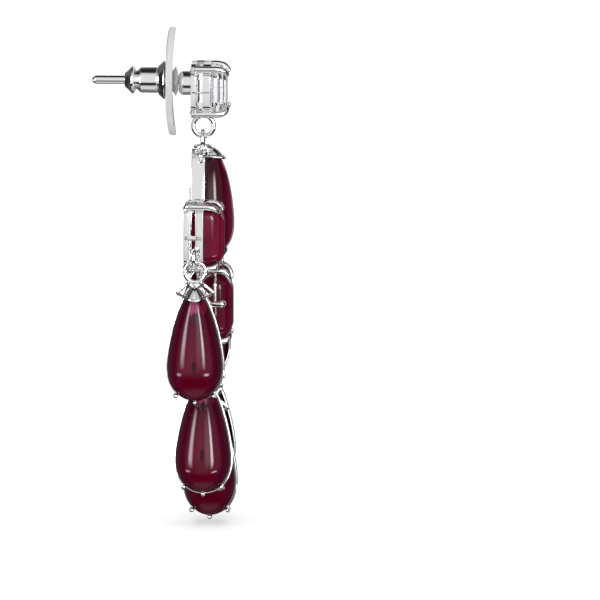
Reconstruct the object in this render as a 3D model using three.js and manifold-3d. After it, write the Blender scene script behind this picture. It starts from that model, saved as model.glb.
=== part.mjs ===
// A drop earring: a clear octagon stud and, hanging from it, a soldered frame of four red stones
// that carries five red pear drops. The pear drops' stones are smooth, with rounded backs.
// Millimetres. +X is the front, where the stud's stone looks, Y runs across, and +Z is up.
// The origin is on the ear post's axis, at the back face of the boss that the post grows from.
import * as THREE from "three";
import { mergeVertices } from "three/addons/utils/BufferGeometryUtils.js";
import Module from "manifold-3d";

// Ear fittings
const POST = { diameter: 0.9, length: 9.1 };
const BOSS = { diameter: 2.5, length: 1.45, lower: 0.3 };
const BORE = 1.14; // the hole of the nut and of the disc, a loose fit on the post
const DISC = { diameter: 11.4, thickness: 0.7, back: -1.4, dish: 0.42 };
const NUT = { front: -1.46, length: 4.24, radius: 2.05 };
// The nut's outline as shares of its length, from the back, and of its radius
const NUT_OUTLINE = [
  { along: 0, out: 0.34 }, { along: 0.11, out: 0.54 }, { along: 0.165, out: 0.68 },
  { along: 0.2, out: 0.71 }, { along: 0.25, out: 0.63 }, { along: 0.28, out: 0.46 },
  { along: 0.32, out: 0.49 }, { along: 0.4, out: 0.65 }, { along: 0.79, out: 0.66 },
  { along: 0.825, out: 0.63 }, { along: 0.85, out: 0.76 }, { along: 0.97, out: 0.98 },
  { along: 1, out: 1 },
];

// Metal
const SEAT = 0.06; // left free between a stone and its metal, and between two linked wires
const WALL = 0.2;
const LEDGE = 0.28; // a pear stone's back is this much narrower all round than its girdle
const WIRE = 0.22; // radius of the wire of every ring and loop
const BAR = 0.36; // radius of the corner prongs

// Octagon stones: overall size, corner cut, and crown and pavilion as steps of inset and height
const SIDE_CROWN = [[0.22, 0.65], [0.52, 1.2], [0.85, 1.65], [1.15, 1.95]];
const CENTRE_CROWN = [[0.24, 0.6], [0.6, 1.1], [1.05, 1.5], [1.45, 1.75]];
const CLEAR_CROWN = [[0.3, 0.7], [0.75, 1.25], [1.15, 1.6]];
const PAVILION = [[0.06, -0.12], [0.45, -0.85], [0.95, -1.45]];
const STUD_STONE = { width: 5.0, height: 5.15, cut: 1.0, crown: CLEAR_CROWN, post: 0.22 };
const SIDE_STONE = { width: 3.8, height: 6.8, cut: 0.9, crown: SIDE_CROWN, post: 0.5 };
const CENTRE_STONE = { width: 5.2, height: 7.46, cut: 1.1, crown: CENTRE_CROWN, post: 0.5 };
const BASKET_DEPTH = 2.1;

// Pear stones: tip is how far the pointed end lies below the wire of the pear's own ring, and cap
// is how far the hood comes down from there
const TOP_PEAR = {
  width: 5.6, length: 10.8, front: 2.95, back: 1.8, tip: 1.96, ring: 0.88, cap: 0.85,
};
const DROP_PEAR = {
  width: 5.95, length: 11.95, front: 2.95, back: 1.45, tip: 2.63, ring: 1.08, cap: 1.15,
};
const LOWEST_PEAR = { ...DROP_PEAR, width: 5.6 };
const GIRDLE = 0.34; // a pear's girdle lies this far in front of its ring
const PEAR_WALL_DEPTH = 1.5;

// Places
const STUD_CENTRE = [3.45, 0, -0.95];
const STUD_RING = { radius: 1.08, x: 2.58, z: -4.84 };
const FRAME_HANG = [2.52, 0, -5.4];
const SIDE_CENTRE = { x: 3.15, y: 4.97, z: -15.75 };
const SIDE_TURN = 8; // degrees that each side octagon is turned outwards
const CENTRE_CENTRE = [4.03, 0, -23.9];
// The loops' centres, measured from the side and the bottom of the stone that they belong to
const SIDE_LOOP = { beside: 0.7, along: -2.0, depth: -0.75, radius: 0.9 };
const LOWER_LOOP = { beside: 0.5, below: 0.57, depth: -1.26, radius: 0.9 };
const LOWEST_LOOP = { below: 1.04, depth: -0.8, radius: 0.8 };
const JUMP_RING = 0.9;
const STRUT = { radius: 0.26, x: 2.45 }; // the short bars that join the settings of the frame
const NEAR_LEAN = 9; // degrees that the near lower drop leans out, resting on the lowest drop

const wasm = await Module();
wasm.setup();

function solid(geometry) {
  const bare = geometry.index ? geometry.toNonIndexed() : geometry.clone();
  bare.deleteAttribute("normal");
  bare.deleteAttribute("uv");
  const merged = mergeVertices(bare, 1e-4);
  return new wasm.Manifold(
    new wasm.Mesh({
      numProp: 3,
      vertProperties: merged.attributes.position.array,
      triVerts: new Uint32Array(merged.index.array),
    }),
  );
}

function geometryOf(manifold) {
  const mesh = manifold.getMesh();
  const geometry = new THREE.BufferGeometry();
  geometry.setAttribute("position", new THREE.BufferAttribute(mesh.vertProperties, 3));
  geometry.setIndex(new THREE.BufferAttribute(mesh.triVerts, 1));
  return geometry;
}

const joined = (...geometries) => geometries.map(solid).reduce((all, one) => all.add(one));

// Skins rings of points, each anticlockwise seen from the last one, and closes both ends on a point.
function loft(rings, start, end) {
  const corners = [];
  const triangle = (...points) => points.forEach((p) => corners.push(p.x, p.y, p.z));
  const count = rings[0].length;
  const last = rings[rings.length - 1];
  for (let j = 0; j < count; j++) {
    const k = (j + 1) % count;
    triangle(start, rings[0][k], rings[0][j]);
    for (let i = 0; i + 1 < rings.length; i++) {
      triangle(rings[i][j], rings[i][k], rings[i + 1][k]);
      triangle(rings[i][j], rings[i + 1][k], rings[i + 1][j]);
    }
    triangle(end, last[j], last[k]);
  }
  const geometry = new THREE.BufferGeometry();
  geometry.setAttribute("position", new THREE.Float32BufferAttribute(corners, 3));
  return geometry;
}

// A rod along a bent line, with its own radius at each point and blunt ends.
function rod(points, radii, sides = 8) {
  const path = points.map((p) => new THREE.Vector3(...p));
  const along = path.map((p, i) =>
    new THREE.Vector3()
      .subVectors(path[Math.min(i + 1, path.length - 1)], path[Math.max(i - 1, 0)])
      .normalize(),
  );
  const side = new THREE.Vector3(along[0].y, -along[0].x, 0);
  if (side.length() < 0.1) side.set(1, 0, 0);
  const rings = path.map((p, i) => {
    side.addScaledVector(along[i], -side.dot(along[i])).normalize();
    const other = new THREE.Vector3().crossVectors(along[i], side);
    return Array.from({ length: sides }, (_, j) => {
      const a = (2 * Math.PI * j) / sides;
      return p
        .clone()
        .addScaledVector(side, radii[i] * Math.cos(a))
        .addScaledVector(other, radii[i] * Math.sin(a));
    });
  });
  const cap = (i, way) => path[i].clone().addScaledVector(along[i], way * radii[i] * 0.5);
  return loft(rings, cap(0, -1), cap(path.length - 1, 1));
}

const ring = (radius, wire = WIRE) => new THREE.TorusGeometry(radius, wire, 6, 12);

// Turns a geometry built in its own frame (x across, y up, z out of the face) to look along
// -Y turned by `turn` degrees about Z, and puts its origin at `place`.
function set(geometry, place, turn) {
  const pose = new THREE.Object3D();
  pose.position.set(...place);
  pose.rotation.set(Math.PI / 2, 0, THREE.MathUtils.degToRad(turn), "ZXY");
  pose.updateMatrix();
  return geometry.clone().applyMatrix4(pose.matrix);
}

// Octagons

function octagon({ width, height, cut }, grow = 0) {
  const w = width / 2 + grow;
  const h = height / 2 + grow;
  const c = cut + (2 - Math.SQRT2) * grow;
  return [
    [w, h - c], [w - c, h], [c - w, h], [-w, h - c],
    [-w, c - h], [c - w, -h], [w - c, -h], [w, c - h],
  ].map(([x, y]) => new THREE.Vector2(x, y));
}

function octagonStone(stone) {
  const steps = [...PAVILION.toReversed(), [0, 0.02], ...stone.crown];
  const rings = steps.map(([inset, z]) =>
    octagon(stone, -inset).map((p) => new THREE.Vector3(p.x, p.y, z)),
  );
  const flat = (z) => new THREE.Vector3(0, 0, z);
  return loft(rings, flat(steps[0][1]), flat(steps[steps.length - 1][1]));
}

function band(outer, inner, from, to) {
  const shape = new THREE.Shape(outer);
  shape.holes.push(new THREE.Path(inner));
  return new THREE.ExtrudeGeometry(shape, { depth: to - from, bevelEnabled: false }).translate(
    0, 0, from,
  );
}

// The middle of an octagon's cut corner, and how far out from there a prong stands.
const cornerOf = (stone) => [(stone.width - stone.cut) / 2, (stone.height - stone.cut) / 2];
const PRONG_OUT = BAR + SEAT;

// Two rails round the stone, a post at the middle of each side, and corner prongs whose tips bend
// over the crown. The centre stone has a prong at the middle of each long side as well.
function octagonBasket(stone, reach) {
  const pieces = [];
  const outer = octagon(stone, SEAT + WALL);
  const inner = octagon(stone, SEAT);
  pieces.push(band(outer, inner, -BASKET_DEPTH, -BASKET_DEPTH + 0.55));
  pieces.push(band(outer, inner, -0.85, 0));
  const middle = SEAT + WALL / 2;
  const post = (x, y) =>
    new THREE.BoxGeometry(
      x ? WALL : stone.post, x ? stone.post : WALL, BASKET_DEPTH - 0.3,
    ).translate(x, y, -BASKET_DEPTH / 2);
  for (const way of [-1, 1]) {
    pieces.push(post(way * (stone.width / 2 + middle), 0));
    pieces.push(post(0, way * (stone.height / 2 + middle)));
  }
  const profile = [
    [PRONG_OUT - 0.22, -BASKET_DEPTH, 0.24],
    [PRONG_OUT, -BASKET_DEPTH + 0.45, BAR],
    [PRONG_OUT, 0.3 * reach, BAR],
    [PRONG_OUT - 0.14, 0.68 * reach, 0.33],
    [PRONG_OUT - 0.48, 0.92 * reach, 0.28],
    [PRONG_OUT - 0.86, reach, 0.2],
  ];
  const prong = (x, y, wayX, wayY) =>
    rod(profile.map(([d, z]) => [x + wayX * d, y + wayY * d, z]), profile.map((p) => p[2]), 6);
  const [x, y] = cornerOf(stone);
  for (const sx of [-1, 1]) {
    for (const sy of [-1, 1]) {
      pieces.push(prong(sx * x, sy * y, sx * Math.SQRT1_2, sy * Math.SQRT1_2));
    }
    if (stone === CENTRE_STONE) pieces.push(prong((sx * stone.width) / 2, 0, sx, 0));
  }
  return geometryOf(joined(...pieces));
}

const sideAcross = SIDE_STONE.width / 2 + SIDE_LOOP.beside;
const lowerAcross = CENTRE_STONE.width / 2 + LOWER_LOOP.beside;
const bottomLoop = ({ below }) => -CENTRE_STONE.height / 2 - below;

// A wire loop that stands on the side wall of a side basket, open towards it.
function sideLoop(way) {
  const { along, depth, radius } = SIDE_LOOP;
  const count = 9;
  const points = Array.from({ length: count }, (_, i) => {
    const a = THREE.MathUtils.degToRad(-124 + (248 * i) / (count - 1));
    return [way * (sideAcross + radius * Math.cos(a)), along + radius * Math.sin(a), depth];
  });
  return rod(points, points.map(() => WIRE), 6);
}

// Pears. v runs from the round end (0) to the tip (length).

function halfWidth(pear, v, grow = 0) {
  const half = pear.width / 2 + grow;
  const length = pear.length + 2 * grow;
  const at = THREE.MathUtils.clamp(v + grow, 0, length);
  const belly = 0.3 * pear.length + grow;
  if (at < belly) return half * (1 - ((belly - at) / belly) ** 2.2) ** (1 / 2.2);
  return half * (1 - ((at - belly) / (length - belly)) ** 1.5) ** 0.6;
}

// Places along the pear, closer together at both ends.
const stations = (pear, count, grow = 0) =>
  Array.from(
    { length: count },
    (_, i) => ((1 - Math.cos((Math.PI * (i + 1)) / (count + 1))) / 2) * (pear.length + 2 * grow) - grow,
  );

const bottomOf = (pear) => -pear.tip - pear.length;

function pearSolid(pear, grow, sections = 13, around = 18) {
  const bottom = bottomOf(pear);
  const rings = stations(pear, sections, grow).map((v) => {
    const half = halfWidth(pear, v, grow);
    const full = (half / (pear.width / 2 + grow)) ** 0.6;
    return Array.from({ length: around }, (_, j) => {
      const a = (2 * Math.PI * j) / around;
      const deep = Math.sin(a) > 0 ? pear.back + grow : pear.front + grow;
      return new THREE.Vector3(half * Math.cos(a), bottom + v, GIRDLE - deep * full * Math.sin(a));
    });
  });
  const pole = (v) => new THREE.Vector3(0, bottom + v, GIRDLE);
  return loft(rings, pole(-grow), pole(pear.length + grow));
}

function pearOutline(pear, count, grow) {
  const right = stations(pear, count, grow).map(
    (v) => new THREE.Vector2(halfWidth(pear, v, grow), bottomOf(pear) + v),
  );
  return [
    new THREE.Vector2(0, bottomOf(pear) - grow),
    ...right,
    new THREE.Vector2(0, bottomOf(pear) + pear.length + grow),
    ...right.toReversed().map((p) => new THREE.Vector2(-p.x, p.y)),
  ];
}

function slab(points, from, to) {
  const options = { depth: to - from, bevelEnabled: false };
  return new THREE.ExtrudeGeometry(new THREE.Shape(points), options).translate(0, 0, from);
}

// The dome in front of the girdle, and what lies behind it cut away.
const dome = (pear, grow, from) =>
  solid(pearSolid(pear, grow)).subtract(solid(slab(pearOutline(pear, 9, 1), -4, from)));

// The stone: a dome, and behind its girdle a narrower rounded back that sits inside the wall.
const pearStone = (pear) =>
  geometryOf(dome(pear, 0, GIRDLE).add(solid(pearSolid(pear, -LEDGE, 9, 12))));

// The hood over the pear's tip, seen from the front: a tongue in the middle and a wing each side.
function hood(pear) {
  const low = -pear.cap;
  const half = [
    [1.1, 0.7], [2.3, -0.2], [2.3, low], [1.3, low], [1.0, low + 0.4], [0.5, low + 0.3], [0.28, low],
  ];
  const place = (way) => ([x, y]) => new THREE.Vector2(way * x, y - pear.tip);
  const outline = [...half.map(place(1)), ...half.toReversed().map(place(-1))].reverse();
  const back = GIRDLE - PEAR_WALL_DEPTH;
  const thick = 0.36;
  const corner = new THREE.BoxGeometry(8, 2, 2).rotateX(-0.8).translate(
    0, -pear.tip + 0.77, back - 0.37,
  );
  return solid(pearSolid(pear, thick, 10, 12))
    .add(solid(slab(pearOutline(pear, 9, thick), back, GIRDLE)))
    .intersect(solid(slab(outline, back, GIRDLE + 3)))
    .subtract(solid(corner));
}

// A claw at the rim, at an angle from the round end's centre line, that follows the dome.
function claw(pear, degrees) {
  const a = THREE.MathUtils.degToRad(degrees);
  const centre = bottomOf(pear) + 0.3 * pear.length;
  const v = 0.3 * pear.length * (1 - Math.cos(a) ** 1.15);
  const rim = new THREE.Vector2(Math.sign(a) * halfWidth(pear, v), bottomOf(pear) + v);
  const way = new THREE.Vector2(rim.x * 1.1, rim.y - centre).normalize();
  const profile = [[0.12, -1.4], [0.12, -0.35], [0.22, 0.05], [0.18, 0.8], [0.04, 1.3]];
  const points = profile.map(([d, z]) => [rim.x + way.x * d, rim.y + way.y * d, GIRDLE + z]);
  return rod(points, [0.19, 0.19, 0.19, 0.19, 0.15], 5);
}

function pearSetting(pear) {
  const back = GIRDLE - PEAR_WALL_DEPTH;
  const rim = band(
    pearOutline(pear, 11, 0.08), pearOutline(pear, 11, -WALL), back, GIRDLE - SEAT,
  );
  const behind = slab(pearOutline(pear, 11, SEAT), back - 0.5, GIRDLE);
  const slot = new THREE.BoxGeometry(8, 0.53, 1.3).translate(0, -pear.tip - 0.42, GIRDLE - 0.5);
  return hood(pear)
    .subtract(solid(behind))
    .add(solid(rim))
    .subtract(solid(slot))
    .add(joined(...[-34, 0, 34].map((degrees) => claw(pear, degrees))))
    .subtract(dome(pear, SEAT, GIRDLE - SEAT))
    .add(solid(ring(pear.ring).translate(0, -pear.ring, 0)));
}

// Ear fittings, turned about the post's axis

function turned(profile, segments) {
  const points = profile.map(([x, r]) => new THREE.Vector2(r, x));
  return new THREE.LatheGeometry(points, segments).rotateZ(-Math.PI / 2);
}

function studSetting() {
  const r = POST.diameter / 2;
  const tip = -POST.length;
  const post = turned(
    [[tip, 0], [tip + 0.08, r * 0.6], [tip + 0.35, r], [0.6, r], [0.6, 0]], 16,
  );
  const b = BOSS.diameter / 2;
  const boss = turned(
    [[0, 0], [0, b - 0.4], [0.12, b - 0.15], [0.4, b], [BOSS.length, b], [BOSS.length, 0]], 20,
  ).translate(0, 0, -BOSS.lower);
  const back = STUD_CENTRE[0] - BASKET_DEPTH;
  const bridge = new THREE.BoxGeometry(0.4, 1.6, STUD_STONE.height + 0.3).translate(
    back + 0.2, 0, STUD_CENTRE[2],
  );
  const basket = set(octagonBasket(STUD_STONE, 1.72), STUD_CENTRE, 90);
  const link = ring(STUD_RING.radius, 0.24)
    .rotateX(Math.PI / 2)
    .translate(STUD_RING.x, 0, STUD_RING.z);
  return geometryOf(joined(post, boss, bridge, basket, link));
}

function earNut() {
  const bore = BORE / 2;
  const back = NUT.front - NUT.length;
  const outline = NUT_OUTLINE.map(({ along, out }) => [
    back + along * NUT.length, out * NUT.radius,
  ]);
  return turned([[back, bore], ...outline, [NUT.front, bore], [back, bore]], 18);
}

function clutchDisc() {
  const bore = BORE / 2;
  const edge = DISC.diameter / 2;
  const bend = (r) => DISC.dish * Math.max(0, (r - 2.6) / (edge - 2.6)) ** 2;
  const radii = [2.6, 4.2, edge - 0.12];
  const front = DISC.back + DISC.thickness;
  return turned(
    [
      [DISC.back, bore],
      ...radii.map((r) => [DISC.back + bend(r), r]),
      [DISC.back + DISC.dish + 0.15, edge],
      [front + DISC.dish - 0.12, edge],
      ...radii.toReversed().map((r) => [front + bend(r), r]),
      [front, 1.0], [-0.32, 1.6], [-0.08, 0.95], [-0.08, bore], [DISC.back, bore],
    ],
    24,
  );
}

// The soldered frame under the stud

function dropFrame() {
  const { x, y, z } = SIDE_CENTRE;
  const sideBasket = octagonBasket(SIDE_STONE, 1.4);
  const strut = (from, to) => rod([from, to], [STRUT.radius, STRUT.radius], 6);
  const centre = CENTRE_CENTRE;
  const out = PRONG_OUT * Math.SQRT1_2;
  const [sideX, sideY] = cornerOf(SIDE_STONE);
  const [centreX, centreY] = cornerOf(CENTRE_STONE);
  const pieces = [
    set(geometryOf(pearSetting(TOP_PEAR)), FRAME_HANG, 90),
    set(octagonBasket(CENTRE_STONE, 1.4), centre, 90),
    set(
      ring(LOWEST_LOOP.radius).translate(0, bottomLoop(LOWEST_LOOP), LOWEST_LOOP.depth),
      centre,
      90,
    ),
    strut(
      [STRUT.x, 0, FRAME_HANG[2] + bottomOf(TOP_PEAR)],
      [STRUT.x, 0, centre[2] + CENTRE_STONE.height / 2 + SEAT],
    ),
  ];
  for (const way of [-1, 1]) {
    const turn = 90 + way * SIDE_TURN;
    const place = [x, way * y, z];
    pieces.push(set(sideBasket, place, turn));
    pieces.push(set(sideLoop(way), place, turn));
    pieces.push(
      strut(
        [STRUT.x, way * (y - sideX - out), z - sideY - out],
        [STRUT.x, way * (centreX + out), centre[2] + centreY + out],
      ),
    );
    const lowerLoop = ring(LOWER_LOOP.radius).translate(
      way * lowerAcross, bottomLoop(LOWER_LOOP), LOWER_LOOP.depth,
    );
    pieces.push(set(lowerLoop, centre, 90));
  }
  return geometryOf(joined(...pieces));
}

// Materials

const metal = () => new THREE.MeshStandardMaterial({ color: 0xd9dade, metalness: 1, roughness: 0.12 });
const garnet = () => new THREE.MeshStandardMaterial({ color: 0x5a0a24, metalness: 0, roughness: 0.06 });
const crystal = () => new THREE.MeshStandardMaterial({ color: 0xeef2f4, metalness: 0, roughness: 0.03 });
const plastic = () => new THREE.MeshStandardMaterial({ color: 0xdedfe0, metalness: 0, roughness: 0.4 });

// Assembly

const earring = new THREE.Group();

function add(name, geometry, material, place = [0, 0, 0], turn = null, lean = 0) {
  const mesh = new THREE.Mesh(geometry, material);
  mesh.name = name;
  mesh.position.set(...place);
  if (turn !== null) {
    const up = Math.PI / 2 - THREE.MathUtils.degToRad(lean);
    mesh.rotation.set(up, 0, THREE.MathUtils.degToRad(turn), "ZXY");
  }
  earring.add(mesh);
}

add("stud_setting", studSetting(), metal());
add("stud_stone", octagonStone(STUD_STONE), crystal(), STUD_CENTRE, 90);
add("ear_nut", earNut(), metal());
add("clutch_disc", clutchDisc(), plastic());

add("drop_frame", dropFrame(), metal());
add("top_pear_stone", pearStone(TOP_PEAR), garnet(), FRAME_HANG, 90);
add("centre_octagon_stone", octagonStone(CENTRE_STONE), garnet(), CENTRE_CENTRE, 90);

const dropOf = (pear) => ({ setting: geometryOf(pearSetting(pear)), stone: pearStone(pear) });
const drop = dropOf(DROP_PEAR);

function addDrop(name, { setting, stone }, place, turn, lean = 0) {
  add(name + "_setting", setting, metal(), place, turn, lean);
  add(name + "_stone", stone, garnet(), place, turn, lean);
}

// The wire of a ring that hangs in a loop of this radius lies this far below the loop's centre.
const hangs = (radius) => radius - 2 * WIRE - SEAT;

const turnedIn = THREE.MathUtils.degToRad(SIDE_TURN);
for (const [name, way] of [["near", -1], ["far", 1]]) {
  const { x, y, z } = SIDE_CENTRE;
  const outward = 90 + way * SIDE_TURN;
  add("side_octagon_stone_" + name, octagonStone(SIDE_STONE), garnet(), [x, way * y, z], outward);
  const loopX = x - sideAcross * Math.sin(turnedIn) + SIDE_LOOP.depth * Math.cos(turnedIn);
  const loopY = y + sideAcross * Math.cos(turnedIn) + SIDE_LOOP.depth * Math.sin(turnedIn);
  const facing = way < 0 ? 0 : 180;
  addDrop(
    "side_drop_" + name,
    drop,
    [loopX, way * loopY, z + SIDE_LOOP.along - hangs(SIDE_LOOP.radius)],
    facing,
  );
  addDrop(
    "lower_drop_" + name,
    drop,
    [
      CENTRE_CENTRE[0] + LOWER_LOOP.depth,
      way * lowerAcross,
      CENTRE_CENTRE[2] + bottomLoop(LOWER_LOOP) - hangs(LOWER_LOOP.radius),
    ],
    facing,
    way < 0 ? NEAR_LEAN : 0,
  );
}

// The lowest drop hangs on two jump rings, each linked through the one above.
const chainX = CENTRE_CENTRE[0] + LOWEST_LOOP.depth;
let chainZ = CENTRE_CENTRE[2] + bottomLoop(LOWEST_LOOP) - hangs(LOWEST_LOOP.radius);
for (const [index, turn] of [[1, 0], [2, 90]]) {
  add("jump_ring_" + index, ring(JUMP_RING), metal(), [chainX, 0, chainZ - JUMP_RING], turn);
  chainZ -= JUMP_RING + hangs(JUMP_RING);
}
addDrop("lowest_drop", dropOf(LOWEST_PEAR), [chainX, 0, chainZ], 0);

export default earring;
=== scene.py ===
"""Drop earring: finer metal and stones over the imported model, its materials, studio and camera.

Shapes are built in millimetres. A setting's own frame has x across, y up and z out of its face.
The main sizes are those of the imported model.
"""

import math

import bpy
from mathutils import Matrix, Vector


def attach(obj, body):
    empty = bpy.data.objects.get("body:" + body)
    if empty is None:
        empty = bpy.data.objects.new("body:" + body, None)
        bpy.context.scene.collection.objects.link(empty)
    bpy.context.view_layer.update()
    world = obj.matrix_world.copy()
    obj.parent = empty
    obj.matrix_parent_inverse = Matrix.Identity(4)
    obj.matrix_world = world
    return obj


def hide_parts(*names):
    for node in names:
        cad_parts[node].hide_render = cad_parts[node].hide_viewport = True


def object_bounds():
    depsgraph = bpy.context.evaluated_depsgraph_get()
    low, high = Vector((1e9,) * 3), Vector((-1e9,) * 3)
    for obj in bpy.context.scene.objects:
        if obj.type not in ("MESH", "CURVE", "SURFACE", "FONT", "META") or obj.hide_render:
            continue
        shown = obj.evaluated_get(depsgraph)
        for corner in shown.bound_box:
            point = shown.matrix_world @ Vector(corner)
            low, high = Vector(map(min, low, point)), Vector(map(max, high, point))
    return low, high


MM = 0.001

# Ear fittings
POST = {"diameter": 0.9, "length": 9.1, "point": 0.35, "into_boss": 0.6}
BOSS = {"diameter": 2.5, "length": 1.45, "lower": 0.3, "chamfer": 0.25}
BRIDGE = {"half_width": 0.8, "thickness": 0.4, "past_stone": 0.15}
BORE = 1.14
DISC = {
    "diameter": 11.4, "thickness": 0.7, "back": -1.4, "tilt": 2.7, "sag": 0.1,
    "dish": 0.42, "flat": 2.6, "bend_from": 1.3, "hub_foot": 1.0,
}
DISC_HUB = [(-0.32, 1.6), (-0.08, 0.95)]  # (x, radius)
NUT = {"front": -1.46, "length": 4.24, "radius": 2.05}
NUT_OUTLINE = [  # (share of the nut's length from its back, share of its radius)
    (0, 0.34), (0.11, 0.54), (0.165, 0.68), (0.2, 0.71), (0.25, 0.63), (0.28, 0.46), (0.32, 0.49),
    (0.4, 0.65), (0.79, 0.66), (0.825, 0.63), (0.85, 0.76), (0.97, 0.98), (1, 1),
]

# Metal
SEAT = 0.06
WALL = 0.2
PEAR_WALL = 0.1
LEDGE = 0.18
WIRE = 0.22
BAR = 0.36
PRONG_OUT = BAR + SEAT
RIM_OUT = 0.08

# Octagon stones and their baskets
STUD_STONE = {"width": 5.0, "height": 5.15, "cut": 1.0, "post": 0.22}
SIDE_STONE = {"width": 3.8, "height": 6.8, "cut": 0.9, "post": 0.5}
CENTRE_STONE = {"width": 5.2, "height": 7.46, "cut": 1.1, "post": 0.3}
# A crown and a back are (inset from the girdle, height) rows.
SIDE_CROWN = [(0.08, 0.35), (0.22, 0.75), (0.45, 1.15), (0.75, 1.5), (0.98, 1.66)]
CENTRE_CROWN = [(0.08, 0.35), (0.24, 0.7), (0.5, 1.02), (0.85, 1.3), (1.12, 1.45)]
CLEAR_CROWN = [(0.3, 0.7), (0.75, 1.25), (1.15, 1.6)]
TABLE_BEVEL = {"inset": 0.7, "rise": 0.22}
PAVILION = [(0.06, -0.12), (0.45, -0.85), (0.95, -1.45)]
BASKET_DEPTH = 2.1
STUD_REACH = 1.72
GARNET_REACH = 1.4
TOP_PRONG = {"up": 0.4, "way": (0.35, 0.94), "bend": 1.25}  # on the centre basket
MIDDLE_PRONG = {"up": 0.6, "reach": 0.72, "bend": 0.4, "head": 1.4}
BACK_RAIL = 0.55
SIDE_RAIL = 0.85
CENTRE_RAIL = 0.24

# Pear stones
TOP_PEAR = {
    "width": 5.6, "length": 10.8, "front": 2.95, "back": 1.8, "tip": 1.96, "ring": 0.88, "cap": 0.85,
}
DROP_PEAR = {
    "width": 5.95, "length": 11.95, "front": 2.95, "back": 1.45, "tip": 2.63, "ring": 1.08, "cap": 1.15,
}
LOWEST_PEAR = {**DROP_PEAR, "width": 5.6}
BELLY = 0.3  # the widest place, as a share of the length from the round end
ROUNDNESS = 2.2  # the power of the outline round the round end
TAPER = {"along": 1.5, "across": 0.6}  # its powers from the widest place to the tip
FULLNESS = 0.6  # a dome's depth follows the outline's width to this power
GIRDLE = 0.34
PEAR_WALL_DEPTH = 1.5
CLAW = {"angles": (-34, 0, 34), "rise": 1.15, "splay": 1.1}
CLAW_STATIONS = [  # out from the rim, height over the girdle, radius
    (0.12, -1.3, 0.19), (0.12, -0.35, 0.2), (0.22, 0.05, 0.24), (0.2, 0.8, 0.24), (0.1, 1.2, 0.2),
]

# The hoods over the pears' tips
HOOD = 0.36
PAST_HOOD = 4.0  # cutters reach this far to each side
HOOD_TOP = [(1.1, 0.7), (2.3, -0.2)]  # (across, above the tip)
HOOD_BACK_CORNER = {"up": 0.77, "behind": 0.37, "turn": -0.8}
HOOD_EDGE = [(2.3, 0.2), (1.45, 0.24), (1.0, 0.24), (0.55, 0.1), (0.22, 0)]  # (across, above the middle)
HOOD_SLOT = {"below_tip": 0.42, "half_height": 0.265, "low": -1.15, "high": 0.15}
HOOD_HOLE = {"across": 1.02, "up": 0.86, "radius": 0.19}
COLLAR = {"radius": 0.78, "wire": 0.19, "up": 0.32, "depth": 0.35}
TRIM_WIRE = 0.17
WING = [  # across, share of the cap's height and more above it, depth
    (1.0, 1, 0.15, -0.4), (1.45, 0.5, 0.3, -0.5), (1.88, 0, 0.44, -0.55),
]
TRIM_EDGE = [(1.5, 0.33), (1.0, 0.26), (0.6, 0.12), (0.3, 0.03), (0, 0)]  # (across, above the middle)

# Edges of stones that are steeper than this, in degrees, stay sharp
STEP_ANGLE = 5
DOME_ANGLE = 14

# Places
STUD_CENTRE = (3.45, 0, -0.95)
STUD_RING = {"radius": 1.08, "wire": 0.24, "x": 2.58, "z": -4.84}
FRAME_HANG = (2.52, 0, -5.4)
SIDE_CENTRE = {"x": 3.15, "y": 4.97, "z": -15.75}
SIDE_TURN = 8
CENTRE_CENTRE = (4.03, 0, -23.9)
SIDE_LOOP = {"beside": 0.7, "along": -2.0, "depth": -0.75, "radius": 0.9, "half_turn": 124}
LOWER_LOOP = {"beside": 0.5, "below": 0.57, "depth": -1.26, "radius": 0.9}
LOWEST_LOOP = {"below": 1.04, "depth": -0.8, "radius": 0.8}
JUMP_RING = 0.9
STRUT = {"radius": 0.26, "x": 2.45}
NEAR_LEAN = 9

# Picture: the photo's scale, its camera angle and the point of the model at its middle
PIXELS_PER_MM = 9.5
PICTURE = 600
CAMERA = {"azimuth": 2.25, "elevation": 9.0, "distance": 1200.0}
PICTURE_CENTRE = (12.72, 0, -23.3)
SENSOR = 36.0

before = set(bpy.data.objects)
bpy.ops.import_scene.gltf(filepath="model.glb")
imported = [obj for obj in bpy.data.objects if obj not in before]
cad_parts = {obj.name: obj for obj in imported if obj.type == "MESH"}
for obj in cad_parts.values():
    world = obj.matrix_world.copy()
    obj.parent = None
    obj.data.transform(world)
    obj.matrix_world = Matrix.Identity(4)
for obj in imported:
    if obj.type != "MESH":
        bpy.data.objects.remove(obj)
CAD_BOX = [list(corner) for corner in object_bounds()]


# Outlines and skins


def rounded(points, radius, steps=3, closed=True):
    """The line with each corner turned into a short curve. Every corner gives steps + 1 points."""
    points = [Vector(p) for p in points]
    count = len(points)
    result = []
    for i, corner in enumerate(points):
        if not closed and i in (0, count - 1):
            result.append(corner)
            continue
        before, after = points[i - 1] - corner, points[(i + 1) % count] - corner
        start = corner + before * min(0.45, radius / before.length)
        end = corner + after * min(0.45, radius / after.length)
        for k in range(steps + 1):
            t = k / steps
            result.append(start * (1 - t) ** 2 + corner * 2 * t * (1 - t) + end * t**2)
    return result


def skin(rings, loop=False):
    """Points and faces over rings of equal length. The ends are capped, or the last meets the first."""
    size = len(rings[0])
    points = [tuple(p) for ring in rings for p in ring]
    faces = []
    for i in range(len(rings) if loop else len(rings) - 1):
        here, there = i * size, (i + 1) % len(rings) * size
        for j in range(size):
            k = (j + 1) % size
            faces.append([here + j, here + k, there + k, there + j])
    if not loop:
        faces.append(list(range(size))[::-1])
        faces.append([len(points) - size + j for j in range(size)])
    return points, faces


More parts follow.
